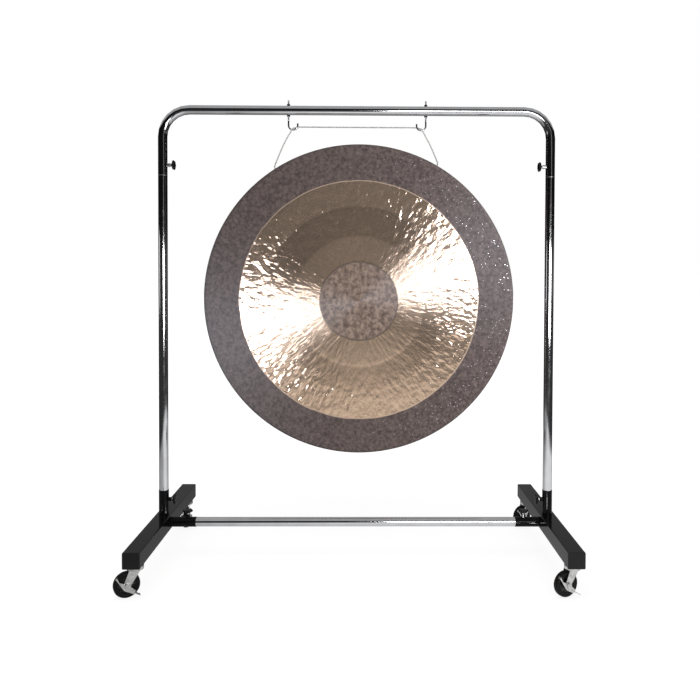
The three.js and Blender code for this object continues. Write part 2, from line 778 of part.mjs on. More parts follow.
function hubGeometry() {
  const rim = wheelRadius - tyreDepth - seatGap;
  const edge = wheelWidth / 2 - hubBossProud;
  const boss = wheelWidth / 2 + hubBossProud;
  const bore = axleDiameter / 2 + runGap;
  return wheelRing([
    [bore, -boss],
    [hubBossDiameter / 2, -boss],
    [hubBossDiameter / 2, -edge + hubDish],
    [rim, -edge],
    [rim, edge],
    [hubBossDiameter / 2, edge - hubDish],
    [hubBossDiameter / 2, boss],
    [bore, boss],
    [bore, -boss],
  ]);
}

function tyreGeometry() {
  const inner = wheelRadius - tyreDepth;
  const shoulder = wheelRadius - tyreShoulder;
  const flank = wheelWidth / 2;
  return wheelRing([
    [inner, -flank + treadCrown],
    [shoulder, -flank],
    [wheelRadius - treadCrown, -flank + tyreShoulder / 2],
    [wheelRadius, -flank + tyreShoulder],
    [wheelRadius, flank - tyreShoulder],
    [wheelRadius - treadCrown, flank - tyreShoulder / 2],
    [shoulder, flank],
    [inner, flank - treadCrown],
    [inner, -flank + treadCrown],
  ]);
}

// The brake lever is a pressed crescent on the axle, outside the fork.
// Its tip has a shoe bent in over the tread, and its other end a pedal bent across.
function brakeGeometry() {
  const tip = new THREE.Vector2(-brakeTipBack, brakeTipUp);
  const heel = new THREE.Vector2(-brakeHeelBack, -brakeHeelDown);
  const toe = new THREE.Vector2(brakeToeAhead, -brakeToeDown);
  const aboveHeel = heel.clone().lerp(tip, heelRoundShare);
  const beyondHeel = heel.clone().lerp(toe, heelRoundShare);
  const blade = new THREE.Shape();
  blade.moveTo(tip.x, tip.y);
  blade.lineTo(aboveHeel.x, aboveHeel.y);
  blade.quadraticCurveTo(heel.x, heel.y, beyondHeel.x, beyondHeel.y);
  blade.lineTo(toe.x, toe.y);
  blade.lineTo(toe.x + brakeToeLead, toe.y + brakeToeWidth);
  blade.quadraticCurveTo(brakeWaistAhead, brakeWaistUp, -brakeShoulderBack, brakeShoulderUp);
  blade.lineTo(tip.x + brakeTipWidth, tip.y + brakeTipWidth);
  blade.closePath();
  const near = forkOuter + runGap;
  const sheet = new THREE.ExtrudeGeometry(blade, {
    depth: brakeSheet, steps: 1, bevelEnabled: false, curveSegments: 7,
  });
  sheet.rotateX(Math.PI / 2);
  sheet.translate(0, -near, 0);
  const hub = alongY(bar(brakeHubDiameter, brakeSheet, 2 * pinSides));
  hub.translate(0, -near - brakeSheet, 0);

  // The shoe stands off the corners of the tread's facets by the running gap.
  const shoeRadius = wheelRadius * cornerShare + runGap + brakeSheet / 2;
  const shoeAngle = Math.atan2(brakeTipUp + brakeTipWidth / 2, -brakeTipBack + brakeTipWidth / 2);
  const shoe = new THREE.BoxGeometry(brakeSheet, shoeReach, shoeLength);
  shoe.translate(shoeRadius, -near - brakeSheet + shoeReach / 2, 0);
  shoe.rotateY(-shoeAngle);

  const pedal = new THREE.BoxGeometry(pedalLength, pedalWidth, brakeSheet);
  pedal.rotateY(THREE.MathUtils.degToRad(pedalSlope));
  pedal.translate(pedalAhead, -near - pedalWidth / 2, -pedalDown);

  const bore = alongY(bar(axleDiameter + 2 * runGap, brakeSheet + 2 * cutOverrun));
  bore.translate(0, -near - brakeSheet - cutOverrun, 0);
  return joinAndCut([sheet, hub, shoe, pedal], [bore]);
}

addLegs();
addTubes();
addTopBar();
addCord();
addGong();
addCasters();

export default stand;
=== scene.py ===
"""Looks of the gong stand: camera, studio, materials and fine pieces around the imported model. Metres."""

import json
import math

import bmesh
import bpy
from mathutils import Matrix, Vector, noise


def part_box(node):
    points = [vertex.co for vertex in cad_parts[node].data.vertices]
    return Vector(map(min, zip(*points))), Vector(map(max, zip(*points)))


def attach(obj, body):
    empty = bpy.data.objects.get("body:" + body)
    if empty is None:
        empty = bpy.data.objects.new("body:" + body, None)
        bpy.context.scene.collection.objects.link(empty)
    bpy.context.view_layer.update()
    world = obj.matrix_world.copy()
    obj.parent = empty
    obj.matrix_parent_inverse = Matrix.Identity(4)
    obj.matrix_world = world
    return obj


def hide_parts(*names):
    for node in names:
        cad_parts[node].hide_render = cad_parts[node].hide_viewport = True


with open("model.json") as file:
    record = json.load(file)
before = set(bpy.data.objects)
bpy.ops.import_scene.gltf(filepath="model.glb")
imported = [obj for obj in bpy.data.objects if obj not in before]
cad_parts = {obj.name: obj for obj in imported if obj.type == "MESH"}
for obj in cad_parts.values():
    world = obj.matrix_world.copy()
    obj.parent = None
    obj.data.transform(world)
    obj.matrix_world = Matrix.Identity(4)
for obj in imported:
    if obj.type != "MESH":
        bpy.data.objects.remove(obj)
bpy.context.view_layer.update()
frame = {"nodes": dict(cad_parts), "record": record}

nodes = frame["nodes"]
behaviour = frame["record"]["behaviour"]
body_of = {node: body for body, members in behaviour["bodies"].items() for node in members}
joints = {joint["name"]: joint for joint in behaviour["joints"]}

MM = 0.001
UP = Vector((0, 0, 1))
WHITE = (1, 1, 1, 1)
SIDES = ("left", "right")
CORNERS = ("front_left", "front_right", "rear_left", "rear_right")


def node_box(node):
    low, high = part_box(node)
    return Vector(low), Vector(high)


def middle(node):
    low, high = node_box(node)
    return (low + high) / 2


def smooth_share(value, start, end):
    """How far a value has come from start to end, eased at both ends."""
    t = min(max((value - start) / (end - start), 0), 1)
    return t * t * (3 - 2 * t)


# The stand's own middle, on the floor halfway between the uprights. The frame's origin is a little aside.
STAND = (middle("left_upright") + middle("right_upright")) / 2
STAND.z = 0

# Camera, solved from the photograph's own lines
CAMERA_PLACE = STAND + Vector((0.0255, -2.2658, 0.9304))
CAMERA_YAW = 0.0106          # radians to the right
CAMERA_PITCH = 0.0233        # radians down
CAMERA_ROLL = 0.0036         # radians, right side up
FOCAL_PIXELS = 686.6
CENTRE_PIXEL = (371.7, 291.9)
IMAGE_PIXELS = 700
SENSOR = 36.0


def add_camera():
    forward = Vector((
        math.sin(CAMERA_YAW) * math.cos(CAMERA_PITCH),
        math.cos(CAMERA_YAW) * math.cos(CAMERA_PITCH),
        -math.sin(CAMERA_PITCH),
    ))
    level = Vector((math.cos(CAMERA_YAW), -math.sin(CAMERA_YAW), 0))
    upright = level.cross(forward)
    right = level * math.cos(CAMERA_ROLL) + upright * math.sin(CAMERA_ROLL)
    up = upright * math.cos(CAMERA_ROLL) - level * math.sin(CAMERA_ROLL)
    data = bpy.data.cameras.new("camera")
    data.sensor_width = SENSOR
    data.lens = FOCAL_PIXELS / IMAGE_PIXELS * SENSOR
    data.shift_x = 0.5 - CENTRE_PIXEL[0] / IMAGE_PIXELS
    data.shift_y = CENTRE_PIXEL[1] / IMAGE_PIXELS - 0.5
    camera = bpy.data.objects.new("camera", data)
    bpy.context.collection.objects.link(camera)
    turn = Matrix((right, up, -forward)).transposed().to_4x4()
    camera.matrix_world = Matrix.Translation(CAMERA_PLACE) @ turn
    bpy.context.scene.camera = camera


class Nodes:
    """A node tree, with one call that adds a node, sets it up and joins its inputs."""

    def __init__(self, tree):
        self.tree = tree

    def add(self, kind, inputs=None, **settings):
        node = self.tree.nodes.new(kind)
        for name, value in settings.items():
            setattr(node, name, value)
        for socket, value in (inputs or {}).items():
            if isinstance(value, bpy.types.NodeSocket):
                self.tree.links.new(value, node.inputs[socket])
            else:
                node.inputs[socket].default_value = value
        return node

    def math(self, operation, *values):
        return self.add("ShaderNodeMath", dict(enumerate(values)), operation=operation).outputs[0]

    def vector(self, operation, *values):
        node = self.add("ShaderNodeVectorMath", dict(enumerate(values)), operation=operation)
        return node.outputs["Value" if operation == "LENGTH" else "Vector"]

    def smooth(self, value, start, end, low=0.0, high=1.0):
        inputs = {0: value, 1: start, 2: end, 3: low, 4: high}
        return self.add("ShaderNodeMapRange", inputs, interpolation_type="SMOOTHSTEP").outputs[0]

    def mix(self, share, first, second):
        node = self.add("ShaderNodeMix", data_type="RGBA")
        for index, value in ((0, share), (6, first), (7, second)):
            if isinstance(value, bpy.types.NodeSocket):
                self.tree.links.new(value, node.inputs[index])
            else:
                node.inputs[index].default_value = (*value, 1)
        return node.outputs[2]

    def noise(self, place, scale, detail=3.0, roughness=0.5):
        inputs = {"Vector": place, "Scale": scale, "Detail": detail, "Roughness": roughness}
        return self.add("ShaderNodeTexNoise", inputs).outputs["Fac"]

    def bump(self, height, distance, normal=None):
        inputs = {"Height": height, "Distance": distance}
        if normal:
            inputs["Normal"] = normal
        return self.add("ShaderNodeBump", inputs).outputs[0]

    def object_place(self):
        return self.add("ShaderNodeTexCoord").outputs["Object"]

    def separate(self, vector):
        return self.add("ShaderNodeSeparateXYZ", {0: vector}).outputs

    def emission(self, strength):
        return self.add("ShaderNodeEmission", {"Color": WHITE, "Strength": strength}).outputs[0]

    def matt(self, level):
        return self.add("ShaderNodeBsdfDiffuse", {"Color": (level, level, level, 1)}).outputs[0]


# Studio: everything that the metal and the paint mirror. A ramp is a start, an end and the value at each.
FLOOR_SIZE = 60.0
FLOOR_DROP = 0.0004          # how far the floor lies under the wheels
FLOOR_PAINT = 0.2            # what the camera sees takes the shadow on this
FLOOR_MATT = 0.8             # what lights the stand from below
FLOOR_GLOW = (0.5, 2.2, 0.85, 1.0)            # by distance from the stand, as the camera sees it
MIRRORED_REACH = (1.9, 2.2, 1.0, 0.0)         # by distance, as the metal mirrors it
MIRRORED_DEPTH = (-0.6, 0.9, 0.72, 0.3)       # front to back
MIRRORED_SIDE = (-1.1, 0.1, 0.42, 1.0)        # left to right
MIRRORED_LEAST = 0.03

WORLD_LEVEL = 0.62           # on matt surfaces
DARK_LEVEL = 0.005
CEILING_LEVEL = 0.36
CEILING_LEAN = 0.213         # how much lower the ceiling's glow reaches at the back
CEILING_EDGE = (0.41, 0.49)
HORIZON_DROP = 0.03
HORIZON_EDGE = (0.03, 0.1, 1.0, 0.0)
HORIZON_SIDE = (-0.4, 0.6, 0.02, 0.1)         # left to right


def add_floor():
    bpy.ops.mesh.primitive_grid_add(x_subdivisions=2, y_subdivisions=2, size=FLOOR_SIZE)
    floor = bpy.context.object
    floor.name = "floor"
    floor.location.z = -FLOOR_DROP
    material = bpy.data.materials.new("floor_sweep")
    material.use_nodes = True
    material.node_tree.nodes.clear()
    n = Nodes(material.node_tree)
    place = n.vector("SUBTRACT", n.add("ShaderNodeNewGeometry").outputs["Position"], STAND)
    reach = n.vector("LENGTH", place)
    axes = n.separate(place)
    lit = n.math("MULTIPLY", n.smooth(reach, *MIRRORED_REACH), n.smooth(axes["Y"], *MIRRORED_DEPTH))
    lit = n.math("MULTIPLY", lit, n.smooth(axes["X"], *MIRRORED_SIDE))
    mirrored = n.emission(n.math("ADD", lit, MIRRORED_LEAST))
    glow = n.emission(n.smooth(reach, *FLOOR_GLOW))
    seen = n.add("ShaderNodeAddShader", {0: glow, 1: n.matt(FLOOR_PAINT)}).outputs[0]
    path = n.add("ShaderNodeLightPath").outputs
    inputs = {0: path["Is Glossy Ray"], 1: n.matt(FLOOR_MATT), 2: mirrored}
    bounced = n.add("ShaderNodeMixShader", inputs).outputs[0]
    both = n.add("ShaderNodeMixShader", {0: path["Is Camera Ray"], 1: bounced, 2: seen}).outputs[0]
    n.add("ShaderNodeOutputMaterial", {"Surface": both})
    floor.data.materials.append(material)


def add_world():
    world = bpy.data.worlds.new("studio")
    bpy.context.scene.world = world
    world.use_nodes = True
    world.node_tree.nodes.clear()
    n = Nodes(world.node_tree)
    way = n.separate(n.add("ShaderNodeTexCoord").outputs["Generated"])
    # The ceiling glows from straight above down to the top of the back wall.
    rise = n.math("ADD", way["Z"], n.math("MULTIPLY", way["Y"], CEILING_LEAN))
    ceiling = n.smooth(rise, *CEILING_EDGE, DARK_LEVEL, CEILING_LEVEL)
    # A faint band lies along the horizon, brighter to the right.
    height = n.math("ABSOLUTE", n.math("ADD", way["Z"], HORIZON_DROP))
    band = n.math("MULTIPLY", n.smooth(height, *HORIZON_EDGE), n.smooth(way["X"], *HORIZON_SIDE))
    studio = n.math("ADD", ceiling, band)
    path = n.add("ShaderNodeLightPath").outputs
    level = n.math("MULTIPLY", path["Is Diffuse Ray"], WORLD_LEVEL)
    white = n.math("MAXIMUM", path["Is Camera Ray"], path["Is Transmission Ray"])
    level = n.math("ADD", level, white)
    level = n.math("ADD", level, n.math("MULTIPLY", studio, path["Is Glossy Ray"]))
    background = n.add("ShaderNodeBackground", {"Color": WHITE, "Strength": level}).outputs[0]
    n.add("ShaderNodeOutputWorld", {"Surface": background})


# Each panel has its name, its place and aim from the stand's middle, its width, height and radiance, and
# whether mirroring and matt surfaces get its light.
PANELS = (
    ("front_panel", (1.25, -2.6, 0.82), (1.25, 0, 0.82), 2.1, 0.62, 8.0, True, False),
    ("front_fill", (0.47, -2.6, 0.82), (0.47, 0, 0.82), 2.5, 0.62, 2.2, False, True),
    ("left_panel", (-3.0, -0.6, 0.95), (0, -0.6, 0.95), 0.6, 0.5, 1.2, True, True),
    ("overhead", (0.0, -0.8, 3.4), (0, 0, 0), 3.2, 2.6, 1.5, False, True),
    ("upper_haze", (1.45, -2.6, 1.75), (1.45, 0, 1.75), 0.5, 1.3, 0.25, True, False),
)
MIRRORED_PANELS = ("front_panel", "upper_haze")
# These light the gong and nothing else: two either side of the camera for its bright fans, and a wash.
GONG_PANELS = (
    ("gong_right", (1.62, -2.3, 1.1), (0.03, 0, 0.85), 0.85, 1.24, 30.0, True, True),
    ("gong_left", (-0.95, -1.25, 0.48), (0.03, 0, 0.85), 0.46, 0.62, 23.0, True, False),
    ("gong_wash", (2.0, -1.3, 0.7), (0.3, 0, 0.8), 0.8, 0.8, 18.0, False, True),
)
FAN_PANELS = ("gong_right", "gong_left")
FAN_COLOR = (0.91, 1.0, 1.18)
# Narrow strips low over the floor draw the fine white lines on the black sockets. Each has its socket, its
# x and y from the stand's middle, and its width, depth and radiance.
SOCKET_STRIPS = (
    ("right_stretcher", 0.76, -0.55, 0.8, 0.5, 130.0),
    ("right_upright", 0.505, -0.5, 0.1, 0.28, 60.0),
    ("left_upright", -0.87, -0.35, 0.06, 0.13, 40.0),
    ("left_upright", -0.29, -0.24, 0.1, 0.13, 40.0),
)
STRIP_HEIGHT = 0.003


def add_softbox(name, place, aim, width, height, radiance, glossy, diffuse):
    """A rectangular lamp of even brightness, hidden from the camera, placed from the stand's middle."""
    data = bpy.data.lights.new(name, "AREA")
    data.shape = "RECTANGLE"
    data.size = width
    data.size_y = height
    data.energy = radiance * math.pi * width * height
    lamp = bpy.data.objects.new(name, data)
    bpy.context.collection.objects.link(lamp)
    lamp.location = STAND + Vector(place)
    lamp.rotation_euler = (Vector(aim) - Vector(place)).to_track_quat("-Z", "Y").to_euler()
    lamp.visible_camera = False
    lamp.visible_glossy = glossy
    lamp.visible_diffuse = diffuse
    return lamp


def link_group(name, member, state="INCLUDE"):
    """A collection that a lamp's light is limited to, or that it leaves out."""
    group = bpy.data.collections.new(name)
    group.objects.link(member)
    for entry in group.collection_objects:
        entry.light_linking.link_state = state
    return group


def add_lamps(gong):
    all_but_gong = link_group("all_but_gong", gong, "EXCLUDE")
    for name, *form in PANELS:
        lamp = add_softbox(name, *form)
        if name in MIRRORED_PANELS:
            lamp.light_linking.receiver_collection = all_but_gong

    gong_only = link_group("gong_only", gong)
    for name, *form in GONG_PANELS:
        lamp = add_softbox(name, *form)
        lamp.light_linking.receiver_collection = gong_only
        if name in FAN_PANELS:
            lamp.data.color = FAN_COLOR

    for i, (socket, x, y, width, depth, radiance) in enumerate(SOCKET_STRIPS):
        place = (x, y, STRIP_HEIGHT)
        strip = add_softbox(f"strip_{i}", place, (x, y, 1), width, depth, radiance, True, False)
        group = link_group(f"strip_{i}_only", nodes[f"{socket}_socket"])
        strip.light_linking.receiver_collection = group


# Plain surfaces. The tint and the roughness follow one cloud of noise, and a finer noise makes the relief.
# A noise is its scale, detail and roughness. A tint is a start, an end and the color at each.
FINISHES = {
    # Plated tube, nearly a mirror, with faint waves and smudges
    "chrome_tube": {
        "plain": {"Base Color": (0.86, 0.87, 0.89, 1), "Metallic": 1.0},
        "cloud": (22.0, 4.0, 0.5),
        "tint": (0.3, 0.7, (0.88, 0.89, 0.91), (0.8, 0.8, 0.82)),
        "rough": (0.35, 0.75, 0.08, 0.14),
        "relief": (45.0, 1.0, 0.5),
        "height": 0.000012,
    },
    # Zinc plate on pressed steel, satin and cloudy, with small scratches
    "zinc_steel": {
        "plain": {"Base Color": (0.6, 0.6, 0.59, 1), "Metallic": 1.0},
        "cloud": (90.0, 5.0, 0.6),
        "tint": (0.3, 0.7, (0.86, 0.86, 0.85), (0.56, 0.56, 0.55)),
        "rough": (0.3, 0.75, 0.2, 0.4),
        "relief": (700.0, 3.0, 0.5),
        "height": 0.00006,
    },
    # Black gloss paint with a little orange peel and dust
    "black_paint": {
        "plain": {"Base Color": (0.005, 0.005, 0.0055, 1), "Metallic": 0.0, "Specular IOR Level": 0.1},
        "cloud": (60.0, 6.0, 0.65),
        "tint": (0.45, 0.8, (0.004, 0.004, 0.0043), (0.009, 0.009, 0.0094)),
        "rough": (0.3, 0.8, 0.06, 0.15),
        "relief": (320.0, 1.0, 0.5),
        "height": 0.000012,
    },
    # Moulded black plastic with a fine spark-eroded grain
    "black_plastic": {
        "plain": {"Base Color": (0.005, 0.005, 0.005, 1), "Metallic": 0.0, "Specular IOR Level": 0.4},
        "cloud": (50.0, 4.0, 0.5),
        "tint": (0.4, 0.8, (0.0015, 0.0015, 0.0016), (0.004, 0.0038, 0.0038)),
        "rough": (0.3, 0.7, 0.22, 0.34),
        "relief": (900.0, 2.0, 0.5),
        "height": 0.00008,
    },
    # Black tyre rubber, dull, with dust in its pores
    "black_rubber": {
        "plain": {"Base Color": (0.008, 0.0075, 0.0075, 1), "Metallic": 0.0, "Specular IOR Level": 0.25},
        "cloud": (130.0, 5.0, 0.65),
        "tint": (0.4, 0.8, (0.002, 0.0019, 0.002), (0.008, 0.0072, 0.0075)),
        "rough": (0.3, 0.7, 0.5, 0.7),
        "relief": (500.0, 3.0, 0.5),
        "height": 0.00015,
    },
}
CORD_FLECKS = (420.0, 2.0, 0.6)
CORD_FLECK_EDGE = (0.56, 0.64)
CORD_STRANDS = (900.0, 1.0)
CORD_PALE = ((0.72, 0.72, 0.7), (0.5, 0.5, 0.49))
CORD_DARK = (0.09, 0.09, 0.1)
CORD_RELIEF = 0.0003


def new_material(name, plain):
    """A material with its constants in the shader's own sockets, and a call that joins the rest to them."""
    material = bpy.data.materials.new(name)
    material.use_nodes = True
    shader = material.node_tree.nodes["Principled BSDF"]
    for socket, value in plain.items():
        shader.inputs[socket].default_value = value
    n = Nodes(material.node_tree)

    def join(socket, value):
        n.tree.links.new(value, shader.inputs[socket])

    return n, join, material


def finish_material(name, finish):
    n, join, material = new_material(name, finish["plain"])
    place = n.object_place()
    cloud = n.noise(place, *finish["cloud"])
    start, end, first, second = finish["tint"]
    join("Base Color", n.mix(n.smooth(cloud, start, end), first, second))
    join("Roughness", n.smooth(cloud, *finish["rough"]))
    join("Normal", n.bump(n.noise(place, *finish["relief"]), finish["height"]))
    return material


def cord_material():
    """Braided light grey cord with dark flecks."""
    plain = {"Base Color": (0.6, 0.6, 0.58, 1), "Metallic": 0.0, "Roughness": 0.85}
    n, join, material = new_material("white_cord", plain)
    place = n.object_place()
    fleck = n.smooth(n.noise(place, *CORD_FLECKS), *CORD_FLECK_EDGE)
    strand = n.noise(place, *CORD_STRANDS)
    join("Base Color", n.mix(fleck, n.mix(strand, *CORD_PALE), CORD_DARK))
    join("Normal", n.bump(strand, CORD_RELIEF))
    return material


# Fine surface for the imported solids: shared corners, smooth round faces, and small rounded edges
MERGE_REACH = 0.00002
SHARP_DEGREES = 32
BEVEL_DEGREES = 40
BEVEL_SEGMENTS = 2
FLAT_WEIGHT = 100            # of 100, how much the large faces rule the shading round an edge
CAP_EDGE = 0.0009
STEEL_EDGE = 0.00035
STEEL_ENDINGS = ("_fork", "_brake", "_axle", "_stem", "_socket")


def surface_tree():
    tree = bpy.data.node_groups.new("smooth_surface", "GeometryNodeTree")
    tree.interface.new_socket("Geometry", in_out="INPUT", socket_type="NodeSocketGeometry")
    tree.interface.new_socket("Geometry", in_out="OUTPUT", socket_type="NodeSocketGeometry")
    n = Nodes(tree)
    shape = n.add("NodeGroupInput").outputs[0]
    shape = n.add("GeometryNodeMergeByDistance", {"Geometry": shape, "Distance": MERGE_REACH}).outputs[0]
    shape = n.add("GeometryNodeRemoveAttribute", {"Geometry": shape, "Name": "custom_normal"}).outputs[0]
    shape = n.add("GeometryNodeSetShadeSmooth", {"Geometry": shape, "Shade Smooth": True}).outputs[0]
    angle = n.add("GeometryNodeInputMeshEdgeAngle").outputs["Unsigned Angle"]
    inputs = {0: angle, 1: math.radians(SHARP_DEGREES)}
    sharp = n.add("FunctionNodeCompare", inputs, operation="GREATER_THAN").outputs[0]
    inputs = {"Geometry": shape, "Selection": sharp, "Shade Smooth": False}
    shape = n.add("GeometryNodeSetShadeSmooth", inputs, domain="EDGE").outputs[0]
    n.add("NodeGroupOutput", {0: shape})
    return tree


def edge_of(node):
    """Radius of a piece's worn or moulded edges."""
    if node.endswith("_cap"):
        return CAP_EDGE
    if node.endswith(STEEL_ENDINGS):
        return STEEL_EDGE
    return 0.0


def refine(node, tree):
    surface = nodes[node].modifiers.new("surface", "NODES")
    surface.node_group = tree
    edge = edge_of(node)
    if edge:
        bevel = nodes[node].modifiers.new("edge", "BEVEL")
        bevel.width = edge
        bevel.segments = BEVEL_SEGMENTS
        bevel.limit_method = "ANGLE"
        bevel.angle_limit = math.radians(BEVEL_DEGREES)
        bevel.harden_normals = True
    weighted = nodes[node].modifiers.new("flats", "WEIGHTED_NORMAL")
    weighted.weight = FLAT_WEIGHT
    weighted.keep_sharp = True


def dress(node, material):
    data = nodes[node].data
    if data.materials:
        data.materials[0] = material
    else:
        data.materials.append(material)


def dress_nodes():
    made = {slot: finish_material(slot, finish) for slot, finish in FINISHES.items()}
    made["white_cord"] = cord_material()
    tree = surface_tree()
    for entry in frame["record"]["subparts"]:
        if entry["material_slot"] in made:
            dress(entry["node"], made[entry["material_slot"]])
            refine(entry["node"], tree)
    return made


# Own meshes
TURNED_SHARP_DEGREES = 33
SWEPT_SHARP_DEGREES = 50


def mesh_object(name, corners, faces, material, sharp_degrees=None):
    mesh = bpy.data.meshes.new(name)
    mesh.from_pydata(corners, [], faces)
    mesh.validate()
    shape = bmesh.new()
    shape.from_mesh(mesh)
    bmesh.ops.recalc_face_normals(shape, faces=shape.faces)
    shape.to_mesh(mesh)
    shape.free()
    mesh.shade_smooth()
    if sharp_degrees:
        mesh.set_sharp_from_angle(angle=math.radians(sharp_degrees))
    mesh.materials.append(material)
    made = bpy.data.objects.new(name, mesh)
    bpy.context.collection.objects.link(made)
    return made


def grid_faces(rows, columns, wrap_rows=False):
    """Quads of a grid whose columns go right round."""
    faces = []
    for i in range(rows if wrap_rows else rows - 1):
        here = i * columns
        after = (i + 1) % rows * columns
        for j in range(columns):
            beside = (j + 1) % columns
            faces.append((here + j, here + beside, after + beside, after + j))
    return faces


def tube_faces(rows, columns):
    """The same grid with a face across each end."""
    ends = (range(columns), range((rows - 1) * columns, rows * columns))
    return [*grid_faces(rows, columns), *(tuple(end) for end in ends)]


def turned(name, profile, sides, material, place, vary=None, closed=False):
    """A piece turned about Z from pairs of radius and height, which may vary with the angle."""
    corners = []
    for radius, height in profile:
        for j in range(sides):
            angle = 2 * math.pi * j / sides
            reach, level = vary(angle, radius, height) if vary else (radius, height)
            corners.append(place @ Vector((reach * math.cos(angle), reach * math.sin(angle), level)))
    rows = len(profile)
    faces = grid_faces(rows, sides, wrap_rows=True) if closed else tube_faces(rows, sides)
    return mesh_object(name, corners, faces, material, TURNED_SHARP_DEGREES)


def swept(name, points, radius_at, sides, material):
    """A closed tube along points, whose radius depends on the length run and the angle round it."""
    corners = []
    heading = (points[1] - points[0]).normalized()
    across = heading.orthogonal().normalized()
    run = 0.0
    for i, place in enumerate(points):
        after = points[min(i + 1, len(points) - 1)]
        before = points[max(i - 1, 0)]
        ahead = (after - before).normalized()
        across = (heading.rotation_difference(ahead) @ across).normalized()
        heading = ahead
        beside = heading.cross(across)
        if i:
            run += (place - points[i - 1]).length
        for j in range(sides):
            angle = 2 * math.pi * j / sides
            radius = radius_at(run, angle)
            corners.append(place + (across * math.cos(angle) + beside * math.sin(angle)) * radius)
    return mesh_object(name, corners, tube_faces(len(points), sides), material, SWEPT_SHARP_DEGREES)


def mm_frame(place, axis):
    """A frame in millimetres whose Z runs along an axis."""
    turn = axis.to_track_quat("Z", "Y").to_matrix().to_4x4()
    return Matrix.Translation(place) @ turn @ Matrix.Scale(MM, 4)


def place_piece(piece, node, replace=True):
    """Hangs a fine piece on the body of the node that it stands for."""
    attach(piece, body_of[node])
    if replace:
        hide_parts(node)


# Gong: a lathe-turned, hammered dish that hangs from its two rim holes and leans a little
GONG_RADIUS = 0.512
GONG_WALL = 0.0028
GONG_CROWN = 0.006           # how far the face's middle stands before its edge
GONG_CORNER = 0.012          # radius of the bend from the face to the rim
GONG_CORNER_DROP = 0.0012    # how far the bend starts behind the face's crown, to clear its steps
GONG_RIM_END = 0.052         # depth of the rim's back edge
GONG_RIM_ROUND = 0.0007
GONG_RIM_INSET = 0.004       # how far the rim draws in towards its back edge
GONG_SHIFT = 0.0075          # to the right of the stand's middle
GONG_HANG_HEIGHT = 1.286
GONG_HANG_DROP = 0.4382
GONG_SETBACK = 0.032
GONG_BALANCE = 0.0112        # depth of its centre of mass
GONG_LEAN = math.atan2(GONG_SETBACK - GONG_BALANCE, GONG_HANG_DROP)
GONG_SIDES = 540
CENTRE_RADIUS = 0.0004       # of the innermost ring of corners
FACE_RINGS = 132
BACK_RINGS = 48
CORNER_RINGS = 8
RIM_RINGS = 6
INNER_CORNER_HAMMERED = 0.6
HOLE_DEGREES = (90 + 32.51, 90 - 29.74)
HOLE_SIDES = 24
HOLE_RADIUS = 0.0045
HOLE_INSET = 0.006
DRILL_LENGTH = 0.04

# Edges of the gong's zones, as shares of its radius
CENTRE_EDGE = 0.25
STEP_EDGES = (0.42, 0.6)
STEP_HALF_WIDTH = 0.008
STEP_HEIGHT = 0.0004
PATINA_EDGE = 0.768

# Hammer marks of the mesh. On the polished ring each mark is drawn out along the radius, and on the dark
# border the marks are round. The widths are shares of the radius, and the heights are in metres.
POLISHED_START = (CENTRE_EDGE, CENTRE_EDGE + 0.04)
POLISHED_END = (0.76, 0.785)
MARKS_ACROSS = 18
MARKS_ALONG = 15
MARK_FRACTAL = (0.9, 2.1, 2)
MARK_HEIGHT = 0.00038
MARK_GROWTH = 0.0003
MARK_GROWS = (0.55, 0.63)
BROAD_SCALE = 6
BROAD_SEED = Vector((5.1, 2.3, 0.7))
BROAD_HEIGHT = 0.0004
BORDER_SCALE = 42
BORDER_SEED = Vector((1.7, 8.2, 4.4))
BORDER_HEIGHT = 0.00028
BORDER_START = (0.77, 0.80)
MIDDLE_FADE = (0.0, 0.06)


def gong_frame():
    hang = Matrix.Translation(STAND + Vector((GONG_SHIFT, 0, GONG_HANG_HEIGHT)))
    lean = Matrix.Rotation(GONG_LEAN, 4, "X")
    return hang @ lean @ Matrix.Translation((0, -GONG_SETBACK, -GONG_HANG_DROP))


def hammer_height(radius, angle):
    """Height of the face's hammer marks, towards the front."""
    share = radius / GONG_RADIUS
    way = Vector((math.cos(angle), math.sin(angle), 0))
    marks = noise.fractal(way * MARKS_ACROSS + Vector((0, 0, share * MARKS_ALONG)), *MARK_FRACTAL)
    polished = smooth_share(share, *POLISHED_START) * (1 - smooth_share(share, *POLISHED_END))
    strength = MARK_HEIGHT + MARK_GROWTH * smooth_share(share, *MARK_GROWS)
    broad = noise.noise(way * share * BROAD_SCALE + BROAD_SEED)
    rough = noise.noise(way * share * BORDER_SCALE + BORDER_SEED)
    border = smooth_share(share, *BORDER_START)
    height = strength * marks * polished + BROAD_HEIGHT * broad + BORDER_HEIGHT * rough * border
    return height * smooth_share(share, *MIDDLE_FADE)


def lathe_step(share):
    """The turned steps of the polished ring, towards the back."""
    steps = (smooth_share(share, edge - STEP_HALF_WIDTH, edge + STEP_HALF_WIDTH) for edge in STEP_EDGES)
    return STEP_HEIGHT * sum(steps)


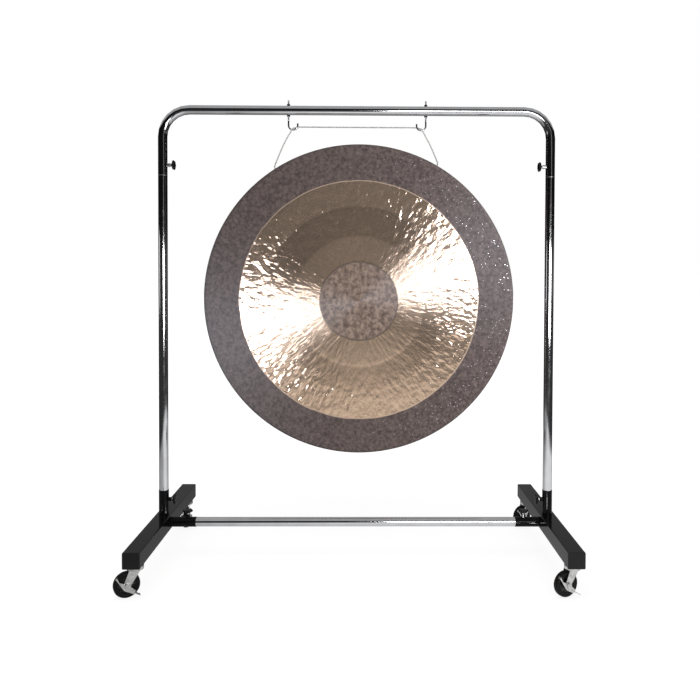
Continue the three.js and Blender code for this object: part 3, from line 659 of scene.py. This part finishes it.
def gong_profile():
    """Rings of the dish, front middle to back middle: radius, depth and share of the hammering."""
    inner = GONG_RADIUS - GONG_CORNER
    start = GONG_CROWN + GONG_CORNER
    hollow = GONG_CORNER - GONG_WALL

    def crowned(i, count):
        radius = max(inner * i / count, CENTRE_RADIUS)
        return radius, GONG_CROWN * (radius / inner) ** 2

    def corner_angle(i):
        return math.pi / 2 * i / CORNER_RINGS

    def rim_depth(share):
        return start + (GONG_RIM_END - start) * share

    rings = []
    for i in range(FACE_RINGS + 1):
        radius, depth = crowned(i, FACE_RINGS)
        rings.append((radius, depth + lathe_step(radius / GONG_RADIUS), 1))
    for i in range(1, CORNER_RINGS + 1):
        outward = inner + GONG_CORNER * math.sin(corner_angle(i))
        depth = GONG_CROWN + GONG_CORNER_DROP + GONG_CORNER * (1 - math.cos(corner_angle(i)))
        rings.append((outward, depth, 1 - i / CORNER_RINGS))
    for i in range(1, RIM_RINGS + 1):
        share = i / RIM_RINGS
        rings.append((GONG_RADIUS - GONG_RIM_INSET * share, rim_depth(share), 0))
    rings.append((GONG_RADIUS - GONG_RIM_INSET - GONG_WALL / 2, GONG_RIM_END + GONG_RIM_ROUND, 0))
    for i in range(RIM_RINGS, -1, -1):
        share = i / RIM_RINGS
        rings.append((GONG_RADIUS - GONG_WALL - GONG_RIM_INSET * share, rim_depth(share), 0))
    for i in range(CORNER_RINGS - 1, -1, -1):
        outward = inner + hollow * math.sin(corner_angle(i))
        rings.append((outward, start - hollow * math.cos(corner_angle(i)), INNER_CORNER_HAMMERED))
    for i in range(BACK_RINGS, -1, -1):
        radius, depth = crowned(i, BACK_RINGS)
        rings.append((radius, depth + GONG_WALL, 1))
    return rings


def add_gong(material):
    profile = gong_profile()
    corners = []
    for radius, depth, share in profile:
        for j in range(GONG_SIDES):
            angle = 2 * math.pi * j / GONG_SIDES
            raised = hammer_height(radius, angle) * share if share else 0
            corners.append((radius * math.cos(angle), depth - raised, radius * math.sin(angle)))
    gong = mesh_object("gong_dish", corners, grid_faces(len(profile), GONG_SIDES), material)
    gong.matrix_world = gong_frame()
    for degrees in HOLE_DEGREES:
        drill_rim(gong, math.radians(degrees))
    place_piece(gong, "gong")
    return gong


def drill_rim(gong, angle):
    """Opens a round hole through the rim for the cord."""
    out = Vector((math.cos(angle), 0, math.sin(angle)))
    bpy.ops.mesh.primitive_cylinder_add(vertices=HOLE_SIDES, radius=HOLE_RADIUS, depth=DRILL_LENGTH)
    drill = bpy.context.object
    drill.name = f"drill_{round(math.degrees(angle))}"
    local = Matrix.Translation(out * (GONG_RADIUS - HOLE_INSET) + Vector((0, GONG_SETBACK, 0)))
    drill.matrix_world = gong.matrix_world @ local @ out.to_track_quat("Z", "Y").to_matrix().to_4x4()
    cut = gong.modifiers.new("rim_hole", "BOOLEAN")
    cut.object = drill
    cut.operation = "DIFFERENCE"
    cut.solver = "EXACT"
    bpy.context.view_layer.update()
    shaped = bpy.data.meshes.new_from_object(gong.evaluated_get(bpy.context.evaluated_depsgraph_get()))
    gong.modifiers.clear()
    gong.data = shaped
    bpy.data.objects.remove(drill)


# Looks of the gong. Noises, ramps and tints are written as above, and a blur is half an edge's width.
BRONZE_PLAIN = {
    "Base Color": (0.6, 0.5, 0.4, 1), "Metallic": 1.0, "Anisotropic": 0.95, "Anisotropic Rotation": 0.25,
}
EDGE_NOISE = (14.0, 3.0)
EDGE_WOBBLE = 0.012
PATINA_BLUR = 0.006
CENTRE_BLUR = 0.004
LATHE_LINES = 60.0
LATHE_NOISE = (6.0, 3.0)
BRIGHT_COLORS = ((0.9, 0.65, 0.46), (0.76, 0.545, 0.385))
STAIN_NOISE = (58.0, 5.0, 0.68)
STAIN_TINT = (0.33, 0.67, (0.048, 0.03, 0.021), (0.165, 0.114, 0.083))
PATINA_NOISE = (105.0, 5.0, 0.7)
PATINA_TINT = (0.32, 0.68, (0.033, 0.0225, 0.019), (0.088, 0.063, 0.0535))
RING_EDGE = (0.002, 0.008, 0.75, 0.0)         # of the dark line round the centre
RING_COLOR = (0.05, 0.04, 0.035)
# Small round hammer pits on the border, kept to its right side where the right lamp falls, so that their
# glints show only there: real pits, partly painted highlight. They keep their metal, so they glint near a
# lamp and look black away from it.
PIT_SCALE = 95.0
PIT_SCATTER = 0.9
PIT_EDGE = (0.1, 0.2, 1.0, 0.0)
PIT_GLINT_SIDE = (-0.1, 0.4)                      # left to right, in metres
PIT_COLOR = (0.5, 0.44, 0.42)
PIT_POLISH = 0.08
PIT_HEIGHT = 0.00035
# The turned band between the steps is the cleanest metal.
BAND_START = (0.41, 0.43)
BAND_END = (0.59, 0.62, 1.0, 0.0)
RING_METAL = 0.93
BAND_METAL = 0.955
MATT_METAL = 0.15
CENTRE_METAL_LOSS = 0.15
GRAIN_NOISE = (120.0, 5.0, 0.6)
BRIGHT_ROUGH = (0.3, 0.7, 0.2, 0.25)
MATT_ROUGH = 0.45
RADIAL_ACROSS = 20.0
RADIAL_ALONG = 17.0
RADIAL_NOISE = (1.0, 1.7, 0.5)
RADIAL_OUTER = (0.42, 0.66, 0.36, 1.25)
RADIAL_HEIGHT = 0.0026
DENT_NOISE = (62.0, 2.0)
DENT_HEIGHT = 0.0012
GRAIN_SHARES = (0.12, 1.0)                    # on the polished ring and on the dull zones
GRAIN_HEIGHT = 0.00016


class GongZones:
    """Where a point of the gong lies: its share of the radius, its direction and the zones it is in."""

    def __init__(self, n, place):
        axes = n.separate(place)
        flat = n.add("ShaderNodeCombineXYZ", {0: axes["X"], 2: axes["Z"]}).outputs[0]
        self.share = n.math("DIVIDE", n.vector("LENGTH", flat), GONG_RADIUS)
        self.way = n.vector("NORMALIZE", flat)
        wobble = n.math("MULTIPLY", n.math("SUBTRACT", n.noise(place, *EDGE_NOISE), 0.5), EDGE_WOBBLE)
        self.edge = n.math("ADD", self.share, wobble)
        self.border = n.smooth(self.edge, PATINA_EDGE - PATINA_BLUR, PATINA_EDGE + PATINA_BLUR)
        self.centre = n.smooth(self.edge, CENTRE_EDGE - CENTRE_BLUR, CENTRE_EDGE + CENTRE_BLUR, 1.0, 0.0)
        self.dull = n.math("MAXIMUM", self.border, self.centre)
        cells = {"Vector": flat, "Scale": PIT_SCALE, "Randomness": PIT_SCATTER}
        cell = n.add("ShaderNodeTexVoronoi", cells, feature="F1").outputs["Distance"]
        # Keeping the pits to the right, where the lamp falls, is partly painted highlight.
        lit_side_pits = n.math("MULTIPLY", self.border, n.smooth(axes["X"], *PIT_GLINT_SIDE))
        self.pit = n.math("MULTIPLY", n.smooth(cell, *PIT_EDGE), lit_side_pits)
        self.matt = n.math("MULTIPLY", self.dull, n.math("SUBTRACT", 1.0, self.pit))


def gong_color(n, place, zone):
    def mottled(grains, tint):
        start, end, first, second = tint
        return n.mix(n.smooth(n.noise(place, *grains), start, end), first, second)

    lines = n.add("ShaderNodeCombineXYZ", {0: n.math("MULTIPLY", zone.share, LATHE_LINES)}).outputs[0]
    bright = n.mix(n.noise(lines, *LATHE_NOISE), *BRIGHT_COLORS)
    color = n.mix(zone.border, bright, mottled(PATINA_NOISE, PATINA_TINT))
    color = n.mix(zone.centre, color, mottled(STAIN_NOISE, STAIN_TINT))
    color = n.mix(zone.pit, color, PIT_COLOR)
    ring = n.math("ABSOLUTE", n.math("SUBTRACT", zone.edge, CENTRE_EDGE))
    return n.mix(n.smooth(ring, *RING_EDGE), color, RING_COLOR)


def gong_metal(n, zone):
    band = n.math("MULTIPLY", n.smooth(zone.share, *BAND_START), n.smooth(zone.share, *BAND_END))
    clean = n.smooth(band, 0.0, 1.0, RING_METAL, BAND_METAL)
    loss = n.math("MULTIPLY", zone.centre, CENTRE_METAL_LOSS)
    metal = n.math("SUBTRACT", n.smooth(zone.matt, 0.0, 1.0, 1.0, MATT_METAL), loss)
    return n.math("MINIMUM", metal, clean)


def gong_roughness(n, grain, zone):
    rough = n.math("ADD", n.smooth(grain, *BRIGHT_ROUGH), n.math("MULTIPLY", zone.matt, MATT_ROUGH))
    return n.math("SUBTRACT", rough, n.math("MULTIPLY", zone.pit, PIT_POLISH))


def gong_relief(n, place, grain, zone):
    # The noise sees the direction fast and the radius slowly, so its marks are drawn out along the radius.
    across = n.add("ShaderNodeVectorMath", {0: zone.way, 3: RADIAL_ACROSS}, operation="SCALE").outputs[0]
    along = n.add("ShaderNodeCombineXYZ", {1: n.math("MULTIPLY", zone.share, RADIAL_ALONG)}).outputs[0]
    marks = n.noise(n.vector("ADD", across, along), *RADIAL_NOISE)
    marks = n.math("MULTIPLY", marks, n.smooth(zone.share, *RADIAL_OUTER))
    marks = n.math("MULTIPLY", marks, n.math("SUBTRACT", 1.0, zone.dull))
    normal = n.bump(marks, RADIAL_HEIGHT)
    normal = n.bump(n.math("MULTIPLY", n.noise(place, *DENT_NOISE), zone.border), DENT_HEIGHT, normal)
    normal = n.bump(n.math("MULTIPLY", zone.pit, -1.0), PIT_HEIGHT, normal)
    grain = n.math("MULTIPLY", grain, n.smooth(zone.dull, 0.0, 1.0, *GRAIN_SHARES))
    return n.bump(grain, GRAIN_HEIGHT, normal)


def gong_material():
    """Bronze: a mottled centre, a turned and hammered bright ring, and a dark patinated border."""
    n, join, material = new_material("hammered_bronze", BRONZE_PLAIN)
    place = n.object_place()
    zone = GongZones(n, place)
    grain = n.noise(place, *GRAIN_NOISE)
    join("Base Color", gong_color(n, place, zone))
    join("Metallic", gong_metal(n, zone))
    join("Roughness", gong_roughness(n, grain, zone))
    join("Tangent", n.add("ShaderNodeTangent", direction_type="RADIAL", axis="Y").outputs[0])
    join("Normal", gong_relief(n, place, grain, zone))
    return material


# Hanging cord, from the knot in the gong's left rim hole to the one in its right rim hole
CORD_DIAMETER = 0.0045
CORD_LAY = 0.0105            # length of one turn of its strands
CORD_GROOVE = 0.2            # depth of the grooves between its strands, as a share of its radius
CORD_SIDES = 24
CORD_STEPS = 22              # per point of its route
STRANDS = 3
KNOT_SIZE = 0.009
KNOT_STRAND = 0.42           # its strand's radius as a share of the cord's diameter
KNOT_GROOVE = 0.14
KNOT_TWIST = 900             # radians per metre
KNOT_STEPS = 72
KNOT_SIDES = 12
KNOT_THICKNESS = 1.3
KNOT_AIM = 8                 # steps along the cord that a knot's axis points to
CORD_ROUTE_MM = [
    (-262.3, 0, 1271), (-267.7, 0, 1279.4), (-270, 0, 1283.3), (-270.6, -0.3, 1287.5),
    (-268.9, -0.9, 1293.5), (-264.2, -2, 1305), (-240, -5.6, 1360), (-224, -7.3, 1389),
    (-217.5, -7.6, 1399.5), (-214, -7, 1406.6), (-211.2, -4.4, 1411.4), (-208.8, 0, 1413.6),
    (-204, 4.7, 1415.8), (-195, 7.4, 1418.5), (-180, 7.6, 1419), (-90, 7.6, 1419),
    (0, 7.6, 1419), (90, 7.6, 1419), (180, 7.6, 1419), (195, 7.4, 1418.5),
    (204, 4.7, 1415.8), (208.8, 0, 1413.6), (211.2, -4.4, 1411.4), (214, -7, 1406.6),
    (217.5, -7.6, 1399.5), (223, -7.3, 1389), (239, -5.6, 1360), (256.5, -2.4, 1322),
    (263, -1.2, 1307), (264.6, -0.4, 1301.5), (264.1, 0, 1296.9), (261.5, 0, 1292.4),
    (256.6, 0, 1283.9),
]


def spline_points(points, per_span):
    """Points along a smooth curve through the given ones, with the same rule as the solid's cord."""
    ends = [points[0] * 2 - points[1], *points, points[-1] * 2 - points[-2]]
    made = []
    for a, b, c, d in zip(ends, ends[1:], ends[2:], ends[3:]):
        # Centripetal spacing keeps the curve tight to its points.
        t1 = math.sqrt((b - a).length)
        t2 = t1 + math.sqrt((c - b).length)
        t3 = t2 + math.sqrt((d - c).length)
        for i in range(per_span):
            t = t1 + (t2 - t1) * i / per_span
            ab = a.lerp(b, t / t1)
            bc = b.lerp(c, (t - t1) / (t2 - t1))
            cd = c.lerp(d, (t - t2) / (t3 - t2))
            abc = ab.lerp(bc, t / t2)
            bcd = bc.lerp(cd, (t - t1) / (t3 - t1))
            made.append(abc.lerp(bcd, (t - t1) / (t2 - t1)))
    return [*made, points[-1]]


def stranded(radius, groove, turn):
    """Radius of a round of strands at an angle from the first, with grooves between them."""
    return radius * (1 - groove + groove * abs(math.sin(STRANDS / 2 * turn)))


def add_cord(material):
    """A three-strand cord, with a knot inside the rim at each end."""
    route = [Vector((x * MM, y * MM, z * MM)) + STAND for x, y, z in CORD_ROUTE_MM]
    points = spline_points(route, CORD_STEPS)

    def lay(run, angle):
        return stranded(CORD_DIAMETER / 2, CORD_GROOVE, angle - 2 * math.pi * run / CORD_LAY)

    cord = swept("hanging_cord", points, lay, CORD_SIDES, material)
    knots = [
        add_knot("cord_knot_0", points[0], points[KNOT_AIM], material),
        add_knot("cord_knot_1", points[-1], points[-1 - KNOT_AIM], material),
    ]
    place_piece(cord, "gong_cord")


def add_knot(name, end, toward, material):
    """An overhand knot, as a tube wound along a trefoil that is drawn tight."""
    turn = (toward - end).normalized().to_track_quat("Z", "Y").to_matrix()
    points = []
    for i in range(KNOT_STEPS + 1):
        t = 2 * math.pi * i / KNOT_STEPS
        x = math.sin(t) + 2 * math.sin(2 * t)
        y = math.cos(t) - 2 * math.cos(2 * t)
        local = Vector((x, y, -KNOT_THICKNESS * math.sin(3 * t)))
        # The trefoil is six units wide.
        points.append(end + turn @ (local * KNOT_SIZE / 6))

    def wound(run, angle):
        twist = run * KNOT_TWIST / (STRANDS / 2)
        return stranded(CORD_DIAMETER * KNOT_STRAND, KNOT_GROOVE, angle + twist)

    knot = swept(name, points, wound, KNOT_SIDES, material)
    place_piece(knot, "gong_cord", replace=False)
    return knot


# Small turned and bent pieces, finer than their solids. Profiles are pairs of radius and height in mm.
KNOB_SIDES = 144
KNOB_LOBES = 6
KNOB_LOBE_DEPTH = 2.6
KNOB_LOBE_REACH = (9.5, 15.5)
KNOB_PROFILE = (
    (4.4, 0), (5.4, 0), (5.8, 0.4), (5.8, 2.2), (6.6, 2.9), (11.2, 3.0), (13.8, 3.5), (15.5, 4.6),
    (16.3, 5.9), (16.5, 7.3), (16.3, 8.7), (15.5, 10.0), (13.8, 11.0), (11.2, 11.5), (9.6, 11.4),
    (8.8, 10.9), (5.0, 10.7), (0.05, 10.6),
)


def add_knobs(material):
    def lobed(angle, radius, height):
        depth = KNOB_LOBE_DEPTH * smooth_share(radius, *KNOB_LOBE_REACH)
        return radius - depth * (1 - math.cos(KNOB_LOBES * angle)) / 2, height

    for side in SIDES:
        for level in ("top", "upright", "stretcher"):
            node = f"{side}_{level}_knob"
            axis = Vector(joints[f"{side}_{level}_thumbscrew_turn"]["axis"])
            low, high = node_box(node)
            place = mm_frame((low + high) / 2 - axis * abs((high - low).dot(axis)) / 2, axis)
            knob = turned(f"{node}_moulding", KNOB_PROFILE, KNOB_SIDES, material, place, lobed)
            place_piece(knob, node)


LIP_SIDES = 96
LIP_PROFILE = ((14.4, 0.1), (15.1, 0.2), (15.35, 0.6), (15.35, 1.2), (15.1, 1.6), (14.4, 1.7))


def add_seam_lips(material):
    """The rounded mouth of the top bar's tube where it meets each upright."""
    for side in SIDES:
        seam = middle(f"{side}_upright")
        seam.z = node_box(f"{side}_upright")[1].z
        place = mm_frame(seam, UP)
        lip = turned(f"{side}_seam_lip", LIP_PROFILE, LIP_SIDES, material, place, closed=True)
        place_piece(lip, "top_bar", replace=False)


NUT_SIDES = 72
NUT_APOTHEM = 5.0
NUT_PROFILE = (
    (4.75, 0), (5.1, 0.25), (5.45, 0.5), (5.8, 0.8), (5.8, 4.2), (5.45, 4.5), (5.1, 4.75), (4.75, 5),
)


def add_nuts(material):
    def hexagonal(angle, radius, height):
        beside = (angle + math.pi / 6) % (math.pi / 3) - math.pi / 6
        return min(radius, NUT_APOTHEM / math.cos(beside)), height

    for side in SIDES:
        for level in ("upper", "lower"):
            node = f"{side}_hook_{level}_nut"
            foot = middle(node)
            foot.z = node_box(node)[0].z
            nut = turned(f"{node}_hex", NUT_PROFILE, NUT_SIDES, material, mm_frame(foot, UP), hexagonal)
            place_piece(nut, node)


HOOK_WIRE = 0.00275
HOOK_BEND = 0.015
HOOK_BEND_STEPS = 32
HOOK_SIDES = 18
HOOK_TIP = 0.006
HOOK_TIP_STEP = 0.0004
HOOK_THREAD = 0.064          # length of the threaded part
THREAD_FADE = 0.003
THREAD_PITCH = 0.001
THREAD_STEPS = 6             # per turn of the thread
THREAD_DEPTH = 0.0005
PLAIN_DEPTH = 0.3            # of the thread's depth, how far the plain wire lies below its crests


def add_hooks(material):
    def thread(run, angle):
        turn = (run / THREAD_PITCH - angle / (2 * math.pi)) % 1
        fade = smooth_share(run, HOOK_THREAD, HOOK_THREAD + THREAD_FADE)
        return HOOK_WIRE - THREAD_DEPTH * ((1 - fade) * (1 - abs(2 * turn - 1)) + PLAIN_DEPTH * fade)

    for side in SIDES:
        node = f"{side}_hook"
        low, high = node_box(node)
        top = middle(f"{side}_hook_upper_nut")
        inward = 1 if top.x < (low.x + high.x) / 2 else -1
        top.z = high.z
        bend = low.z + HOOK_WIRE + HOOK_BEND
        steps = round((top.z - bend) / (THREAD_PITCH / THREAD_STEPS))
        points = [top + UP * ((bend - top.z) * i / steps) for i in range(steps)]
        centre = Vector((top.x + inward * HOOK_BEND, top.y, bend))
        for i in range(HOOK_BEND_STEPS + 1):
            angle = math.pi * i / HOOK_BEND_STEPS
            out = Vector((-inward * math.cos(angle), 0, -math.sin(angle)))
            points.append(centre + out * HOOK_BEND)
        points.append(points[-1] + UP * (HOOK_TIP - HOOK_TIP_STEP))
        points.append(points[-1] + UP * HOOK_TIP_STEP)
        hook = swept(f"{node}_wire", points, thread, HOOK_SIDES, material)
        place_piece(hook, node)


# Flanks of the tyre and the hub, from the wheel's mid plane outward
WHEEL_SIDES = 96
TYRE_FLANK = (
    (26.5, 8.9), (27.4, 9.7), (29.2, 10.0), (29.5, 9.6), (29.8, 10.0), (33.2, 9.8), (35.2, 9.0),
    (36.5, 7.6), (37.2, 5.9), (37.5, 3.8),
)
HUB_FACE = (
    (4.2, 11.2), (8.2, 11.2), (8.8, 10.6), (9.2, 7.6), (10.4, 6.4), (22.6, 6.0), (24.0, 7.2),
    (24.6, 8.6), (26.3, 8.8),
)
HUB_RIBS = 8
RIB_RISE = 1.4
RIB_EDGE = (0.82, 0.9)       # cosines of the rib's half width
RIB_REACH = (10, 23)         # radii between which the ribs stand


def add_wheels(plastic, rubber):
    def ribbed(angle, radius, height):
        rib = smooth_share(math.cos(HUB_RIBS * angle), *RIB_EDGE) * (RIB_REACH[0] < radius < RIB_REACH[1])
        return radius, height + math.copysign(RIB_RISE * rib, height)

    for corner in CORNERS:
        roll = joints[f"{corner}_roll"]
        place = mm_frame(Vector(roll["pos_m"]), Vector(roll["axis"]))
        for kind, face, material, slot, vary in (
            ("tyre", TYRE_FLANK, rubber, "black_rubber", None),
            ("hub", HUB_FACE, plastic, "black_plastic", ribbed),
        ):
            node = f"{corner}_caster_{kind}"
            profile = [(radius, -height) for radius, height in face] + [*reversed(face)]
            ring = turned(f"{node}_ring", profile, WHEEL_SIDES, material, place, vary, closed=True)
            place_piece(ring, node)


add_camera()
add_world()
add_floor()
materials = dress_nodes()
add_lamps(add_gong(gong_material()))
add_cord(materials["white_cord"])
add_knobs(materials["black_plastic"])
add_nuts(materials["chrome_tube"])
add_seam_lips(materials["zinc_steel"])
add_hooks(materials["chrome_tube"])
add_wheels(materials["black_plastic"], materials["black_rubber"])

bpy.context.scene.view_settings.view_transform = "Standard"
